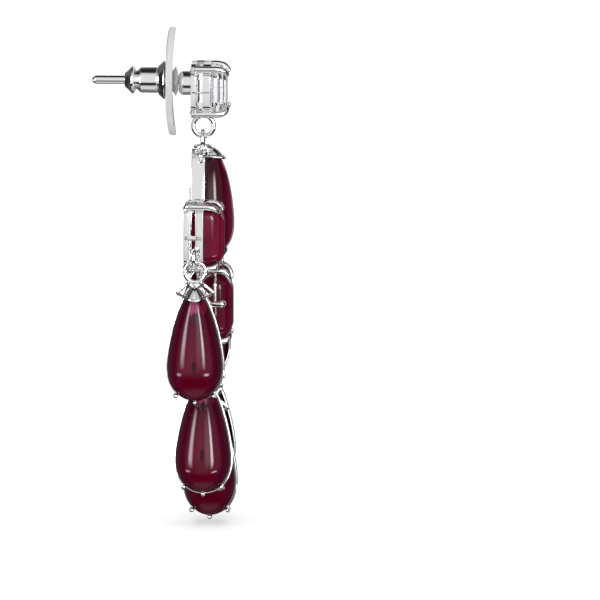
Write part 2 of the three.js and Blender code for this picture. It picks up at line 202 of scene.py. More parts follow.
class Shape:
    """Closed forms gathered into one mesh, in millimetres."""

    def __init__(self):
        self.points = []
        self.faces = []

    def add(self, form, place=None):
        points, faces = form
        start = len(self.points)
        matrix = place or Matrix()
        self.points += [matrix @ Vector(p) for p in points]
        self.faces += [[start + i for i in face] for face in faces]
        return self

    def add_shape(self, shape, place=None):
        return self.add((shape.points, shape.faces), place)


def placed(place, turn, lean=0):
    """The matrix of a setting that looks along -Y turned by turn degrees, leaning forward."""
    return (
        Matrix.Translation(place)
        @ Matrix.Rotation(math.radians(turn), 4, "Z")
        @ Matrix.Rotation(math.pi / 2 - math.radians(lean), 4, "X")
    )


def tube(path, radii, sides=16, round_ends=True):
    """A rod along a bent line with its own radius at each point, and round ends."""
    path = [Vector(p) for p in path]
    radii = list(radii)
    if round_ends:
        for at, inner in ((0, 1), (-1, -2)):
            way = (path[at] - path[inner]).normalized()
            end, radius = path[at].copy(), radii[at]
            for degrees in (30, 55, 75):
                a = math.radians(degrees)
                point, size = end + way * radius * math.sin(a), radius * math.cos(a)
                path.insert(0 if at == 0 else len(path), point)
                radii.insert(0 if at == 0 else len(radii), size)
    along = []
    for i, point in enumerate(path):
        step = path[min(i + 1, len(path) - 1)] - path[max(i - 1, 0)]
        along.append(step.normalized())
    side = Vector((along[0].y, -along[0].x, 0))
    if side.length < 0.1:
        side = Vector((1, 0, 0))
    rings = []
    for point, way, radius in zip(path, along, radii):
        side = (side - way * side.dot(way)).normalized()
        other = way.cross(side)
        angles = [2 * math.pi * j / sides for j in range(sides)]
        rings.append([point + (side * math.cos(a) + other * math.sin(a)) * radius for a in angles])
    return skin(rings)


def curved(points, steps=5):
    """A smooth line through the points, a Catmull-Rom curve on vectors of any length."""
    points = [Vector(p) for p in points]
    line = [points[0] * 2 - points[1], *points, points[-1] * 2 - points[-2]]
    result = []
    for a, b, c, d in zip(line, line[1:], line[2:], line[3:]):
        for k in range(steps):
            t = k / steps
            bend = (a * 2 - b * 5 + c * 4 - d) * t**2 + (b * 3 - a - c * 3 + d) * t**3
            result.append((b * 2 + (c - a) * t + bend) / 2)
    return [*result, points[-1]]


def smooth_tube(stations, steps=5, sides=16):
    """A rod through (x, y, z, radius) stations."""
    line = curved([Vector(s) for s in stations], steps)
    return tube([p.xyz for p in line], [p[3] for p in line], sides)


def ring(radius, wire=WIRE, around=56, sides=16):
    """A wire ring in the xy plane, round the origin."""
    angles = [2 * math.pi * j / sides for j in range(sides)]
    section = [(radius + wire * math.cos(b), wire * math.sin(b)) for b in angles]
    rings = []
    for i in range(around):
        a = 2 * math.pi * i / around
        rings.append([(out * math.cos(a), out * math.sin(a), z) for out, z in section])
    return skin(rings, loop=True)


def lathe(profile, around=64, bored=False):
    """Turns (x, radius) points about the X axis. A bored profile closes on itself."""
    rings = []
    for x, radius in profile:
        angles = [2 * math.pi * j / around for j in range(around)]
        rings.append([(x, radius * math.cos(a), radius * math.sin(a)) for a in angles])
    return skin(rings, loop=bored)


def swept(outline, profile):
    """A band round an outline: outline(grow) gives its points, and profile the (grow, z) section."""
    rings = [[(x, y, z) for x, y in outline(grow)] for grow, z in rounded(profile, 0.06)]
    return skin(rings, loop=True)


def block(low, high, bevel=0.05):
    """A box between two corners with soft edges."""
    rings = []
    for z, inset in ((low[2], bevel), (low[2] + bevel, 0), (high[2] - bevel, 0), (high[2], bevel)):
        x0, y0, x1, y1 = low[0] + inset, low[1] + inset, high[0] - inset, high[1] - inset
        outline = rounded([(x0, y0), (x1, y0), (x1, y1), (x0, y1)], bevel)
        rings.append([(x, y, z) for x, y in outline])
    return skin(rings)


# Meshes


def mesh_of(shape, name="form"):
    mesh = bpy.data.meshes.new(name)
    mesh.from_pydata([tuple(p) for p in shape.points], [], shape.faces)
    mesh.validate()
    return mesh


def modified(mesh, settings):
    """The mesh after modifiers, each given as (type, values)."""
    obj = bpy.data.objects.new("work", mesh)
    bpy.context.scene.collection.objects.link(obj)
    for kind, values in settings:
        modifier = obj.modifiers.new(kind, kind)
        for key, value in values.items():
            setattr(modifier, key, value)
    bpy.context.view_layer.update()
    evaluated = obj.evaluated_get(bpy.context.evaluated_depsgraph_get())
    made = bpy.data.meshes.new_from_object(evaluated)
    bpy.data.objects.remove(obj)
    return made


def combined(mesh, operation, shape):
    """A boolean of a mesh and a shape: UNION, DIFFERENCE or INTERSECT."""
    other = bpy.data.objects.new("other", mesh_of(shape))
    bpy.context.scene.collection.objects.link(other)
    made = modified(mesh, [("BOOLEAN", {"operation": operation, "object": other, "solver": "EXACT"})])
    bpy.data.objects.remove(other)
    return made


def shape_of(mesh):
    shape = Shape()
    shape.points = [v.co.copy() for v in mesh.vertices]
    shape.faces = [list(p.vertices) for p in mesh.polygons]
    return shape


def piece(name, shape, material, body, nodes, sharp=40):
    """The shape as an object that rides on a body and stands for CAD nodes.

    Edges steeper than sharp degrees stay sharp.
    """
    mesh = mesh_of(shape, name)
    mesh.transform(Matrix.Scale(MM, 4))
    mesh.shade_smooth()
    mesh.set_sharp_from_angle(angle=math.radians(sharp))
    mesh.materials.append(material)
    obj = bpy.data.objects.new(name, mesh)
    bpy.context.scene.collection.objects.link(obj)
    bpy.context.view_layer.update()
    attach(obj, body)
    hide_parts(*nodes)
    return obj


# Octagon baskets


def octagon(stone, grow, soft=0.25):
    w, h = stone["width"] / 2 + grow, stone["height"] / 2 + grow
    c = stone["cut"] + (2 - math.sqrt(2)) * grow
    right = [(w, c - h), (w, h - c), (w - c, h)]
    left = [(c - w, h), (-w, h - c), (-w, c - h)]
    return rounded([*right, *left, (c - w, -h), (w - c, -h)], soft, 5)


def cut_stone(stone, crown):
    """A stone with a domed crown, a flat table and a stepped back."""
    inset, z = crown[-1]
    bevel = (inset + TABLE_BEVEL["inset"], z + TABLE_BEVEL["rise"])
    domed = [(p.x, p.y) for p in curved([(0, 0), *crown], 4)]
    levels = [*PAVILION[::-1], (0, -0.02), *domed, bevel]
    rings = [[(x, y, z) for x, y in octagon(stone, -inset, 0.5)] for inset, z in levels]
    return Shape().add(skin(rings))


def step_stone(stone, crown):
    """A step-cut stone: flat facets in rows, with a thin polished edge round its girdle."""
    levels = [*PAVILION[::-1], (0, -0.02), (0, 0.06), *crown]
    rings = [[(x, y, z) for x, y in octagon(stone, -inset, 0.02)] for inset, z in levels]
    return Shape().add(skin(rings))


def corner_of(stone):
    return (stone["width"] - stone["cut"]) / 2, (stone["height"] - stone["cut"]) / 2


def prong(at, way, reach, bend=0.8, head=1.0):
    """A rod up the basket's side, whose end leans in by bend over the stone. Its head can be thicker."""
    stations = [  # out, height, radius
        (PRONG_OUT - 0.22, -BASKET_DEPTH + 0.1, 0.24),
        (PRONG_OUT, -BASKET_DEPTH + 0.45, BAR),
        (PRONG_OUT, -0.5, BAR),
        (PRONG_OUT, 0.3 * reach, BAR),
        (PRONG_OUT - 0.18 * bend, 0.68 * reach, 0.33 * head),
        (PRONG_OUT - 0.6 * bend, 0.92 * reach, 0.28 * head),
        (PRONG_OUT - bend, reach, 0.22 * head),
    ]
    return smooth_tube([(at[0] + way[0] * out, at[1] + way[1] * out, z, r) for out, z, r in stations])


def octagon_basket(stone, reach):
    """Two rails, four flat posts and prongs that reach over the stone. The centre one has six prongs."""
    shape = Shape()
    near, far = SEAT, SEAT + WALL
    rail = CENTRE_RAIL if stone is CENTRE_STONE else SIDE_RAIL
    for low, high in ((-BASKET_DEPTH, -BASKET_DEPTH + BACK_RAIL), (-rail, 0)):
        profile = [(near, low), (far, low), (far, high), (near, high)]
        shape.add(swept(lambda grow: octagon(stone, grow), profile))
    half = stone["post"] / 2
    low, high = -BASKET_DEPTH + 0.1, -0.12
    for way in (-1, 1):
        x = sorted((way * (stone["width"] / 2 + near), way * (stone["width"] / 2 + far)))
        y = sorted((way * (stone["height"] / 2 + near), way * (stone["height"] / 2 + far)))
        shape.add(block((x[0], -half, low), (x[1], half, high)))
        shape.add(block((-half, y[0], low), (half, y[1], high)))
    x, y = corner_of(stone)
    slant = math.sqrt(0.5)
    for across in (-1, 1):
        shape.add(prong((across * x, -y), (across * slant, -slant), reach))
        if stone is not CENTRE_STONE:
            shape.add(prong((across * x, y), (across * slant, slant), reach))
            continue
        way = (across * TOP_PRONG["way"][0], TOP_PRONG["way"][1])
        shape.add(prong((across * x, y + TOP_PRONG["up"]), way, reach, TOP_PRONG["bend"]))
        middle, at = MIDDLE_PRONG, (across * stone["width"] / 2, MIDDLE_PRONG["up"])
        shape.add(prong(at, (across, 0), middle["reach"], middle["bend"], middle["head"]))
    return shape


# Pears


def pear_rows(pear, grow=0.0, low=18, high=30):
    """(height above the round end, half width), from just over the round end to just under the tip."""
    half = pear["width"] / 2 + grow
    belly = BELLY * pear["length"] + grow
    rest = pear["length"] + 2 * grow - belly
    rows = []
    for i in range(low):
        a = math.radians(1.5 + 88.5 * i / low)
        power = 2 / ROUNDNESS
        rows.append((belly * (1 - math.cos(a) ** power), half * math.sin(a) ** power))
    for i in range(high):
        share = math.cos(math.radians(89 * i / (high - 1)))
        along = (1 - share ** (1 / TAPER["across"])) ** (1 / TAPER["along"])
        rows.append((belly + rest * along, half * share))
    return [(v - grow, w) for v, w in rows]


def bottom_of(pear):
    return -pear["tip"] - pear["length"]


def pear_form(pear, grow=0.0, around=56, flat_back=False):
    """A pear with a high dome in front. Its back is a lower dome, or flat at the girdle."""
    rings = []
    for v, half in pear_rows(pear, grow):
        full = (half / (pear["width"] / 2 + grow)) ** FULLNESS
        outline = []
        for j in range(around):
            a = math.pi + math.pi * j / (around - 1) if flat_back else 2 * math.pi * j / around
            deep = pear["back"] if math.sin(a) > 0 else pear["front"]
            z = GIRDLE - (deep + grow) * full * math.sin(a)
            outline.append((half * math.cos(a), bottom_of(pear) + v, z))
        rings.append(outline)
    return skin(rings)


def pear_outline(pear, grow):
    right = [(half, bottom_of(pear) + v) for v, half in pear_rows(pear, grow)]
    return right + [(-x, y) for x, y in right[::-1]]


def slab(points, low, high):
    return skin([[(x, y, low) for x, y in points], [(x, y, high) for x, y in points]])


def hood(pear):
    """The cap over the pear's tip. It dips in front, with a slot and a hole on each side."""
    back = GIRDLE - PEAR_WALL_DEPTH
    tip = -pear["tip"]
    low = tip - pear["cap"]
    half = [*[(x, tip + y) for x, y in HOOD_TOP], *[(x, low + y) for x, y in HOOD_EDGE]]
    outline = rounded(half + [(-x, y) for x, y in half[::-1]], 0.16)[::-1]
    made = mesh_of(Shape().add(pear_form(pear, HOOD)))
    made = combined(made, "UNION", Shape().add(slab(pear_outline(pear, HOOD), back, GIRDLE)))
    made = combined(made, "INTERSECT", Shape().add(slab(outline, back, GIRDLE + 3)))
    cut = HOOD_BACK_CORNER
    corner = block((-PAST_HOOD, -1, -1), (PAST_HOOD, 1, 1))
    corner_at = Matrix.Translation((0, tip + cut["up"], back - cut["behind"]))
    corner_place = corner_at @ Matrix.Rotation(cut["turn"], 4, "X")
    made = combined(made, "DIFFERENCE", Shape().add(corner, corner_place))
    made = combined(made, "DIFFERENCE", Shape().add(slab(pear_outline(pear, SEAT), back - 0.5, GIRDLE)))
    made = combined(made, "DIFFERENCE", Shape().add(pear_form(pear, SEAT)))
    slot_y, slot_half = tip - HOOD_SLOT["below_tip"], HOOD_SLOT["half_height"]
    slot_low = (-PAST_HOOD, slot_y - slot_half, GIRDLE + HOOD_SLOT["low"])
    slot = block(slot_low, (PAST_HOOD, slot_y + slot_half, GIRDLE + HOOD_SLOT["high"]))
    made = combined(made, "DIFFERENCE", Shape().add(slot))
    radius = HOOD_HOLE["radius"]
    ends = [(-PAST_HOOD, 0.02), (-PAST_HOOD, radius), (PAST_HOOD, radius), (PAST_HOOD, 0.02)]
    hole = lathe(ends, 24)
    through = Matrix.Rotation(-math.pi / 2, 4, "Y")
    for way in (-1, 1):
        hole_place = Matrix.Translation((way * HOOD_HOLE["across"], low + HOOD_HOLE["up"], 0)) @ through
        made = combined(made, "DIFFERENCE", Shape().add(hole, hole_place))
    settings = [
        ("REMESH", {"mode": "VOXEL", "voxel_size": 0.06}),
        ("SMOOTH", {"factor": 0.5, "iterations": 4}),
    ]
    return shape_of(modified(made, settings))


def on_dome(pear, grow, x, y):
    """The point of a grown pear's front at x and y."""
    rows = pear_rows(pear, grow)
    v = y - bottom_of(pear)
    (v0, half0), (v1, half1) = next(pair for pair in zip(rows, rows[1:]) if pair[1][0] >= v)
    half = half0 + (half1 - half0) * (v - v0) / (v1 - v0)
    full = (half / (pear["width"] / 2 + grow)) ** FULLNESS
    return (x, y, GIRDLE + (pear["front"] + grow) * full * math.sqrt(max(0, 1 - (x / half) ** 2)))


def hood_trim(pear):
    """A collar on the hood, and a wire down to a pointed wing and along the hood's lower edge."""
    low = -pear["cap"] - pear["tip"]
    collar_at = (0, COLLAR["up"] - pear["tip"], GIRDLE - COLLAR["depth"])
    collar_place = Matrix.Translation(collar_at) @ Matrix.Rotation(math.pi / 2, 4, "X")
    shape = Shape().add(ring(COLLAR["radius"], COLLAR["wire"]), collar_place)
    path = [(x, low + (share * pear["cap"] + more), GIRDLE + z) for x, share, more, z in WING]
    path += [on_dome(pear, HOOD, x, low + y) for x, y in TRIM_EDGE]
    for way in (-1, 1):
        shape.add(smooth_tube([(way * x, y, z, TRIM_WIRE) for x, y, z in path], 4, 10))
    return shape


def claw(pear, degrees):
    """A claw at the rim, at an angle from the round end's centre line, that follows the dome."""
    a = math.radians(degrees)
    belly = BELLY * pear["length"]
    v = belly * (1 - math.cos(a) ** CLAW["rise"])
    half = pear["width"] / 2 * (1 - ((belly - v) / belly) ** ROUNDNESS) ** (1 / ROUNDNESS)
    rim = Vector((math.copysign(half, a) if a else 0, bottom_of(pear) + v))
    way = Vector((rim.x * CLAW["splay"], rim.y - bottom_of(pear) - belly)).normalized()
    return smooth_tube([(*(rim + way * out), GIRDLE + z, r) for out, z, r in CLAW_STATIONS], sides=14)


def pear_setting(pear):
    """A wall round the stone, the hood, three claws and the ring that it hangs from."""
    back = GIRDLE - PEAR_WALL_DEPTH
    front = GIRDLE - SEAT
    profile = [(-PEAR_WALL, back), (RIM_OUT, back), (RIM_OUT, front), (-PEAR_WALL, front)]
    shape = Shape().add(swept(lambda grow: pear_outline(pear, grow), profile))
    shape.add_shape(hood(pear))
    shape.add_shape(hood_trim(pear))
    for degrees in CLAW["angles"]:
        shape.add(claw(pear, degrees))
    shape.add(ring(pear["ring"]), Matrix.Translation((0, -pear["ring"], 0)))
    return shape


def pear_stone(pear):
    """The dome in front of the girdle, and a smaller body that goes back through the wall."""
    return Shape().add(pear_form(pear, flat_back=True)).add(pear_form(pear, -LEDGE))


# Stud and ear fittings


def stud_shape():
    """Post, boss, the bridge across the basket's back, the basket and the ring under it."""
    r = POST["diameter"] / 2
    tip = -POST["length"]
    point = [(tip, 0.02), (tip + 0.02, r * 0.55), (tip + POST["point"], r)]
    post = rounded([*point, (POST["into_boss"], r)], 0.12, closed=False)
    b = BOSS["diameter"] / 2
    edge = [(0, 0.02), (0, b - BOSS["chamfer"]), (0.3, b)]
    boss = rounded([*edge, (BOSS["length"], b)], 0.2, closed=False)
    shape = Shape().add(lathe(post, 40))
    shape.add(lathe(boss, 48), Matrix.Translation((0, 0, -BOSS["lower"])))
    back = STUD_CENTRE[0] - BASKET_DEPTH
    half, wide = STUD_STONE["height"] / 2 + BRIDGE["past_stone"], BRIDGE["half_width"]
    z = STUD_CENTRE[2]
    bridge_end = (back + BRIDGE["thickness"], wide, z + half)
    shape.add(block((back, -wide, z - half), bridge_end, 0.08))
    shape.add_shape(octagon_basket(STUD_STONE, STUD_REACH), placed(STUD_CENTRE, 90))
    at = Matrix.Translation((STUD_RING["x"], 0, STUD_RING["z"])) @ Matrix.Rotation(math.pi / 2, 4, "X")
    return shape.add(ring(STUD_RING["radius"], STUD_RING["wire"]), at)


def nut_shape():
    """A nut turned from its outline, with a bore for the post."""
    back = NUT["front"] - NUT["length"]
    outline = [(back + along * NUT["length"], out * NUT["radius"]) for along, out in NUT_OUTLINE]
    profile = [(back, BORE / 2), *outline, (NUT["front"], BORE / 2)]
    return Shape().add(lathe(rounded(profile, 0.09), 64, bored=True))


def disc_shape():
    """A thin disc with a hub, whose upper and lower ends bend forward. It sits askew and a little low."""
    bore, edge, flat = BORE / 2, DISC["diameter"] / 2, DISC["flat"]
    back, front = DISC["back"], DISC["back"] + DISC["thickness"]
    radii = [flat + (edge - 0.12 - flat) * i / 8 for i in range(9)]
    profile = [(back, bore), *[(back, r) for r in radii], (back + 0.15, edge), (front - 0.12, edge)]
    profile += [(front, r) for r in radii[::-1]]
    profile += [(front, DISC["hub_foot"]), *DISC_HUB, (DISC_HUB[-1][0], bore)]
    points, faces = lathe(rounded(profile, 0.08), 96, bored=True)
    bent = []
    for x, y, z in points:
        share = max(0, (abs(z) - DISC["bend_from"]) / (edge - DISC["bend_from"]))
        bent.append((x + DISC["dish"] * share**2, y, z - DISC["sag"]))
    middle = Matrix.Translation((back, 0, 0))
    askew = Matrix.Rotation(math.radians(DISC["tilt"]), 4, "Z")
    return Shape().add((bent, faces), middle @ askew @ middle.inverted())


# The soldered frame


def side_across():
    """How far the side loops' middles are from their octagons' middles."""
    return SIDE_STONE["width"] / 2 + SIDE_LOOP["beside"]


def lower_across():
    """How far the lower loops are from the centre octagon's middle."""
    return CENTRE_STONE["width"] / 2 + LOWER_LOOP["beside"]


def below_centre(loop):
    """The height of a loop under the centre octagon, from that stone's middle."""
    return -CENTRE_STONE["height"] / 2 - loop["below"]


def side_loop(way):
    """An open wire loop on a side octagon's outer edge."""
    radius, half_turn = SIDE_LOOP["radius"], SIDE_LOOP["half_turn"]
    path = []
    for i in range(33):
        a = math.radians(half_turn * (i / 16 - 1))
        across = side_across() + radius * math.cos(a)
        path.append((way * across, SIDE_LOOP["along"] + radius * math.sin(a), SIDE_LOOP["depth"]))
    return tube(path, [WIRE] * len(path))


def strut(start, end):
    return tube([start, end], [STRUT["radius"]] * 2, round_ends=False)


def frame_shape():
    """The top pear's setting, the three red octagons' baskets, and the struts and loops on them."""
    shape = Shape().add_shape(pear_setting(TOP_PEAR), placed(FRAME_HANG, 90))
    at_centre = placed(CENTRE_CENTRE, 90)
    shape.add_shape(octagon_basket(CENTRE_STONE, GARNET_REACH), at_centre)
    lowest = Matrix.Translation((0, below_centre(LOWEST_LOOP), LOWEST_LOOP["depth"]))
    shape.add(ring(LOWEST_LOOP["radius"]), at_centre @ lowest)
    centre_z = CENTRE_CENTRE[2]
    top = centre_z + CENTRE_STONE["height"] / 2 + SEAT
    shape.add(strut((STRUT["x"], 0, FRAME_HANG[2] + bottom_of(TOP_PEAR)), (STRUT["x"], 0, top)))
    side_basket = octagon_basket(SIDE_STONE, GARNET_REACH)
    out = PRONG_OUT * math.sqrt(0.5)
    side_x, side_y = corner_of(SIDE_STONE)
    centre_x, centre_y = corner_of(CENTRE_STONE)
    for way in (-1, 1):
        place = (SIDE_CENTRE["x"], way * SIDE_CENTRE["y"], SIDE_CENTRE["z"])
        at_side = placed(place, 90 + way * SIDE_TURN)
        shape.add_shape(side_basket, at_side)
        shape.add(side_loop(way), at_side)
        start = (STRUT["x"], way * (SIDE_CENTRE["y"] - side_x - out), place[2] - side_y - out)
        shape.add(strut(start, (STRUT["x"], way * (centre_x + out), centre_z + centre_y + out)))
        lower = Matrix.Translation((way * lower_across(), below_centre(LOWER_LOOP), LOWER_LOOP["depth"]))
        shape.add(ring(LOWER_LOOP["radius"]), at_centre @ lower)
    return shape


# Materials


# Painted glow of the pear stones: brighter red painted deep in each dome as light from inside, fading to
# dark red painted shade at the girdle.
PAINTED_GLOW_FADE = {"along": 0.3, "across": 0.15}
PEAR_PAINTED_GLOW = [(0.0, (0.026, 0.0003, 0.004)), (0.5, (0.045, 0.0006, 0.009)), (0.95, (0.1, 0.003, 0.021))]
CUT_GLOW = [(0.3, (0.045, 0.0006, 0.007)), (0.7, (0.13, 0.002, 0.021))]
PEAR_PAINTED_REFLECTIONS_AND_SHADE = [  # painted reflections and painted shade on the stones: middle across and up from the hood's edge, half width and height, colour
    # A painted pink reflection under the hood, a brighter red painted patch beside it, painted shade
    # under that reflection, a dark painted shade spot low in the middle, and a painted crimson reflection
    # over the round end.
    ((0.0, -0.9), (0.62, 1.0), (0.26, 0.045, 0.11)),
    ((0.95, -0.8), (0.3, 0.8), (0.11, 0.004, 0.021)),
    ((0.1, -1.75), (0.5, 0.6), (0.045, 0.012, 0.024)),
    ((0.0, -6.9), (0.28, 0.8), (0.03, 0.0, 0.002)),
    ((0.0, -8.6), (1.7, 1.4), (0.075, 0.0, 0.008)),
]


def new_material(name):
    material = bpy.data.materials.new(name)
    material.use_nodes = True
    nodes, links = material.node_tree.nodes, material.node_tree.links
    return material, nodes, links, nodes["Principled BSDF"]


def add_noise(nodes, links, scale, detail=3.0):
    coordinates = nodes.new("ShaderNodeTexCoord")
    texture = nodes.new("ShaderNodeTexNoise")
    texture.inputs["Scale"].default_value = scale
    texture.inputs["Detail"].default_value = detail
    links.new(coordinates.outputs["Object"], texture.inputs["Vector"])
    return texture


def add_ramp(nodes, links, source, stops):
    """A colour ramp of two or more (position, colour) stops."""
    ramp = nodes.new("ShaderNodeValToRGB")
    elements = ramp.color_ramp.elements
    for position, _ in stops[1:-1]:
        elements.new(position)
    for element, (position, colour) in zip(elements, stops):
        element.position = position
        element.color = (*colour, 1)
    links.new(source, ramp.inputs["Fac"])
    return ramp.outputs["Color"]


def spread(nodes, links, source, low, high, socket):
    """Maps a texture's 0.3 to 0.7 onto low to high and feeds the socket."""
    mapped = nodes.new("ShaderNodeMapRange")
    mapped.inputs["From Min"].default_value = 0.3
    mapped.inputs["From Max"].default_value = 0.7
    mapped.inputs["To Min"].default_value = low
    mapped.inputs["To Max"].default_value = high
    links.new(source, mapped.inputs["Value"])
    links.new(mapped.outputs["Result"], socket)


def bumped(nodes, links, source, shader, distance, strength):
    bump = nodes.new("ShaderNodeBump")
    bump.inputs["Distance"].default_value = distance
    bump.inputs["Strength"].default_value = strength
    links.new(source, bump.inputs["Height"])
    links.new(bump.outputs["Normal"], shader.inputs["Normal"])


def metal_material():
    material, nodes, links, shader = new_material("rhodium")
    shader.inputs["Base Color"].default_value = (0.93, 0.925, 0.93, 1)
    shader.inputs["Metallic"].default_value = 1
    polish = add_noise(nodes, links, 900)
    spread(nodes, links, polish.outputs["Fac"], 0.015, 0.05, shader.inputs["Roughness"])
    waves = add_noise(nodes, links, 1600, 2)
    bumped(nodes, links, waves.outputs["Fac"], shader, 0.00003, 0.12)
    return material


def near_point(nodes, links, own, middle, size):
    """1 near a point of a stone and 0 outside a soft-edged oval round it."""
    offset = nodes.new("ShaderNodeVectorMath")
    offset.operation = "SUBTRACT"
    offset.inputs[1].default_value = (*middle, 0)
    links.new(own, offset.inputs[0])
    scaled = nodes.new("ShaderNodeVectorMath")
    scaled.operation = "MULTIPLY"
    scaled.inputs[1].default_value = (1 / size[0], 1 / size[1], 0)
    links.new(offset.outputs["Vector"], scaled.inputs[0])
    length = nodes.new("ShaderNodeVectorMath")
    length.operation = "LENGTH"
    links.new(scaled.outputs["Vector"], length.inputs[0])
    mask = nodes.new("ShaderNodeMapRange")
    mask.interpolation_type = "SMOOTHSTEP"
    mask.inputs["From Min"].default_value = 1.1
    mask.inputs["From Max"].default_value = 0.6
    links.new(length.outputs["Value"], mask.inputs["Value"])
    return mask.outputs["Result"]


def tinted(nodes, links, base, mask, colour):
    mix = nodes.new("ShaderNodeMix")
    mix.data_type = "RGBA"
    mix.inputs["B"].default_value = (*colour, 1)
    links.new(base, mix.inputs["A"])
    links.new(mask, mix.inputs["Factor"])
    return mix.outputs["Result"]


def gloss(nodes, links, shader, ior):
    shader.inputs["IOR"].default_value = ior
    polish = add_noise(nodes, links, 700)
    spread(nodes, links, polish.outputs["Fac"], 0.03, 0.07, shader.inputs["Roughness"])


def cut_garnet_material():
    material, nodes, links, shader = new_material("garnet_cut")
    cloud = add_noise(nodes, links, 350)
    links.new(add_ramp(nodes, links, cloud.outputs["Fac"], CUT_GLOW), shader.inputs["Base Color"])
    gloss(nodes, links, shader, 1.31)
    return material


def pear_garnet_material():
    """Deep red glass with painted light: a painted glow in its middle that fades to painted shade at the
    girdle, a painted pink reflection, dark painted shade patches, and a painted crimson reflection over
    the round end.
    """
    material, nodes, links, shader = new_material("garnet_pear")
    painted_glow = nodes.new("ShaderNodeAttribute")
    painted_glow.attribute_name = "painted_glow"
    own = nodes.new("ShaderNodeAttribute")
    own.attribute_name = "own"
    # The painted glow ramp lights the stone's middle and leaves painted shade at its girdle.
    colour = add_ramp(nodes, links, painted_glow.outputs["Fac"], PEAR_PAINTED_GLOW)
    where = own.outputs["Vector"]
    # Each patch paints a reflection or a shade over the stone's colour.
    for middle, size, painted_light_colour in PEAR_PAINTED_REFLECTIONS_AND_SHADE:
        mask = near_point(nodes, links, where, middle, size)
        colour = tinted(nodes, links, colour, mask, painted_light_colour)
    links.new(colour, shader.inputs["Base Color"])
    gloss(nodes, links, shader, 1.33)
    return material


def crystal_material():
    material, nodes, links, shader = new_material("crystal")
    shader.inputs["Base Color"].default_value = (0.97, 0.98, 0.99, 1)
    shader.inputs["Transmission Weight"].default_value = 1
    shader.inputs["IOR"].default_value = 1.6
    polish = add_noise(nodes, links, 500)
    spread(nodes, links, polish.outputs["Fac"], 0.0, 0.02, shader.inputs["Roughness"])
    return material


def plastic_material():
    material, nodes, links, shader = new_material("plastic")
    cloud = add_noise(nodes, links, 260)
    greys = [(0.0, (0.62, 0.62, 0.63)), (1.0, (0.7, 0.7, 0.7))]
    links.new(add_ramp(nodes, links, cloud.outputs["Fac"], greys), shader.inputs["Base Color"])
    shader.inputs["Transmission Weight"].default_value = 0.2
    shader.inputs["IOR"].default_value = 1.49
    spread(nodes, links, cloud.outputs["Fac"], 0.3, 0.42, shader.inputs["Roughness"])
    return material


# The object


def add_painted_glow(obj, pear, place):
    """Stores where each point is in its own stone, and the painted glow: how far in from the girdle, 0 to
    1, bright in the middle and painted shade near the girdle.
    """
    mesh = obj.data
    painted_glow = mesh.attributes.new("painted_glow", "FLOAT", "POINT")
    own_place = mesh.attributes.new("own", "FLOAT_VECTOR", "POINT")
    back_to_own = place.inverted()
    belly = BELLY * pear["length"]
    rest = pear["length"] - belly
    for i, vertex in enumerate(mesh.vertices):
        own = back_to_own @ (vertex.co / MM)
        v = own.y - bottom_of(pear)
        along = (v - belly) / (rest if v > belly else belly)
        across = own.x / (pear["width"] / 2)
        deep = pear["front"] if own.z > GIRDLE else pear["back"]
        rise = abs(own.z - GIRDLE) / deep
        # The painted glow is brightest deep in the dome and fades to painted shade towards the girdle,
        # the tip, the round end and the sides.
        inner = rise * (1 - PAINTED_GLOW_FADE["along"] * along**2) - PAINTED_GLOW_FADE["across"] * across**2
        painted_glow.data[i].value = max(0.0, min(1.0, inner))
        own_place.data[i].vector = (own.x, own.y + pear["tip"] + pear["cap"], own.z - GIRDLE)


def add_pear(name, shapes, place, body):
    """A setting and its stone, both standing for the CAD nodes of the same names."""
    setting, stone, pear = shapes
    piece(name + "_metal", Shape().add_shape(setting, place), METAL, body, [name + "_setting"])
    gem = Shape().add_shape(stone, place)
    add_painted_glow(piece(name + "_gem", gem, PEAR_GARNET, body, [name + "_stone"]), pear, place)


def hangs(radius):
    """How far under a ring's middle the next ring's wire passes, SEAT clear of this ring's wire."""
    return radius - 2 * WIRE - SEAT


METAL = metal_material()
PEAR_GARNET = pear_garnet_material()
CUT_GARNET = cut_garnet_material()
CRYSTAL = crystal_material()
PLASTIC = plastic_material()

piece("stud_metal", stud_shape(), METAL, "stud", ["stud_setting"])
piece("nut_metal", nut_shape(), METAL, "clutch", ["ear_nut"])
piece("disc_plastic", disc_shape(), PLASTIC, "clutch", ["clutch_disc"])
piece("frame_metal", frame_shape(), METAL, "chandelier", ["drop_frame"])

top_place = placed(FRAME_HANG, 90)
top_shape = Shape().add_shape(pear_stone(TOP_PEAR), top_place)
top_gem = piece("top_pear_gem", top_shape, PEAR_GARNET, "chandelier", ["top_pear_stone"])
add_painted_glow(top_gem, TOP_PEAR, top_place)

stud_place = placed(STUD_CENTRE, 90)
clear = Shape().add_shape(step_stone(STUD_STONE, CLEAR_CROWN), stud_place)
piece("stud_gem", clear, CRYSTAL, "stud", ["stud_stone"], STEP_ANGLE)
centre_cut = Shape().add_shape(cut_stone(CENTRE_STONE, CENTRE_CROWN), placed(CENTRE_CENTRE, 90))
centre_node = "centre_octagon_stone"
piece("centre_gem", centre_cut, CUT_GARNET, "chandelier", [centre_node], DOME_ANGLE)
for side, way in (("near", -1), ("far", 1)):
    side_at = (SIDE_CENTRE["x"], way * SIDE_CENTRE["y"], SIDE_CENTRE["z"])
    side_place = placed(side_at, 90 + way * SIDE_TURN)
    side_cut = Shape().add_shape(cut_stone(SIDE_STONE, SIDE_CROWN), side_place)
    side_node = "side_octagon_stone_" + side
    piece("side_gem_" + side, side_cut, CUT_GARNET, "chandelier", [side_node], DOME_ANGLE)

